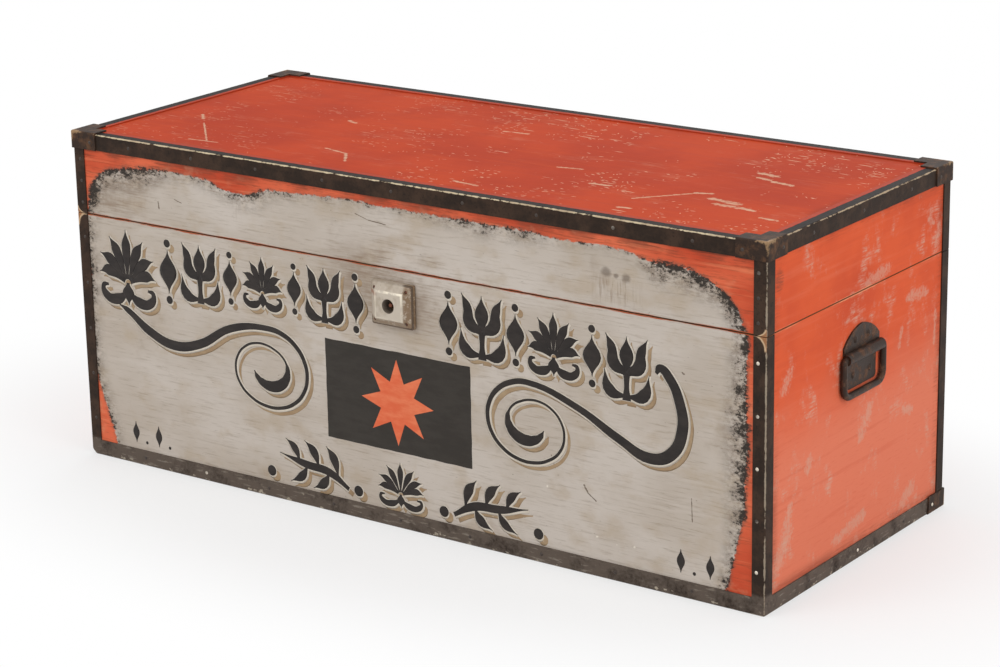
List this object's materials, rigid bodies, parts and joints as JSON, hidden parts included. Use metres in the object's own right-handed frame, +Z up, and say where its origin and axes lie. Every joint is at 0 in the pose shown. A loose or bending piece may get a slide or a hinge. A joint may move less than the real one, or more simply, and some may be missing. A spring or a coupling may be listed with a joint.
{
  "type": "medical trunk",
  "caption": "Painted wooden trunk with a hinged lid, bent edge strips, corner caps, a chest lock and drop handles on its ends.",
  "frame": {"origin": "on the floor under the middle of the trunk, at the bottom centre of its bounding box", "axes": "+X along the trunk to its right end, +Y from the front to the back, +Z up"},
  "size_m": [0.958, 0.4163, 0.3998],
  "materials": {
    "corner_cap": "dark paint with rust",
    "edge_strip": "dark brown-black paint, worn along the edges",
    "escutcheon_paint": "cast block painted grey-white, worn",
    "front_paint": "worn grey-white paint on wood, with black and orange-red brushwork",
    "handle_iron": "dark, rusty",
    "lock_iron": "dull, brown-grey",
    "painted_wood": "worn orange-red paint on wood, satin",
    "tack": "darkened, a few heads bright"
  },
  "bodies": {
    "trunk_body": {"back_board": "painted_wood", "back_bottom_strip": "edge_strip", "back_left_bottom_cap": "corner_cap", "back_left_post_strip": "edge_strip", "back_right_bottom_cap": "corner_cap", "back_right_post_strip": "edge_strip", "body_tacks": "tack", "bottom_board": "painted_wood", "escutcheon": "escutcheon_paint", "escutcheon_pins": "escutcheon_paint", "front_board": "front_paint", "front_bottom_strip": "edge_strip", "front_left_post_strip": "edge_strip", "front_right_post_strip": "edge_strip", "hinge_body_screws": "lock_iron", "left_bottom_strip": "edge_strip", "left_end_board": "painted_wood", "left_handle_plate": "handle_iron", "left_handle_rivets": "handle_iron", "left_hinge_body_leaf": "lock_iron", "left_hinge_pin": "lock_iron", "lock_case": "lock_iron", "lock_cover": "lock_iron", "lock_cover_screws": "lock_iron", "lock_drill_pin": "lock_iron", "lock_screws": "lock_iron", "lock_spring": "lock_iron", "right_bottom_strip": "edge_strip", "right_end_board": "painted_wood", "right_handle_plate": "handle_iron", "right_handle_rivets": "handle_iron", "right_hinge_body_leaf": "lock_iron", "right_hinge_pin": "lock_iron"},
    "lid": {"hinge_lid_screws": "lock_iron", "left_hinge_lid_leaf": "lock_iron", "lid_back_left_corner_cap": "corner_cap", "lid_back_left_post_strip": "edge_strip", "lid_back_rail": "painted_wood", "lid_back_right_corner_cap": "corner_cap", "lid_back_right_post_strip": "edge_strip", "lid_back_strip": "edge_strip", "lid_front_left_corner_cap": "corner_cap", "lid_front_left_post_strip": "edge_strip", "lid_front_rail": "front_paint", "lid_front_right_corner_cap": "corner_cap", "lid_front_right_post_strip": "edge_strip", "lid_front_strip": "edge_strip", "lid_left_rail": "painted_wood", "lid_left_strip": "edge_strip", "lid_right_rail": "painted_wood", "lid_right_strip": "edge_strip", "lid_tacks": "tack", "lid_top_board": "painted_wood", "lock_strike": "lock_iron", "right_hinge_lid_leaf": "lock_iron", "strike_screws": "lock_iron"},
    "left_bail": {"left_bail": "handle_iron"},
    "right_bail": {"right_bail": "handle_iron"},
    "lock_bolt": {"lock_bolt": "lock_iron"}
  },
  "joints": [
    {"name": "lid_hinge", "type": "hinge", "parent": "trunk_body", "child": "lid", "pos_m": [0, 0.1998, 0.3005], "axis": [-1, 0, 0], "range_deg": [0, 100]},
    {"name": "right_handle_swing", "type": "hinge", "parent": "trunk_body", "child": "right_bail", "pos_m": [0.4729, 0, 0.2345], "axis": [0, -1, 0], "range_deg": [0, 180]},
    {"name": "left_handle_swing", "type": "hinge", "parent": "trunk_body", "child": "left_bail", "pos_m": [-0.4729, 0, 0.2345], "axis": [0, 1, 0], "range_deg": [0, 180]},
    {"name": "lock_bolt_slide", "type": "slide", "parent": "trunk_body", "child": "lock_bolt", "axis": [1, 0, 0], "range_m": [0, 0.008]}
  ]
}
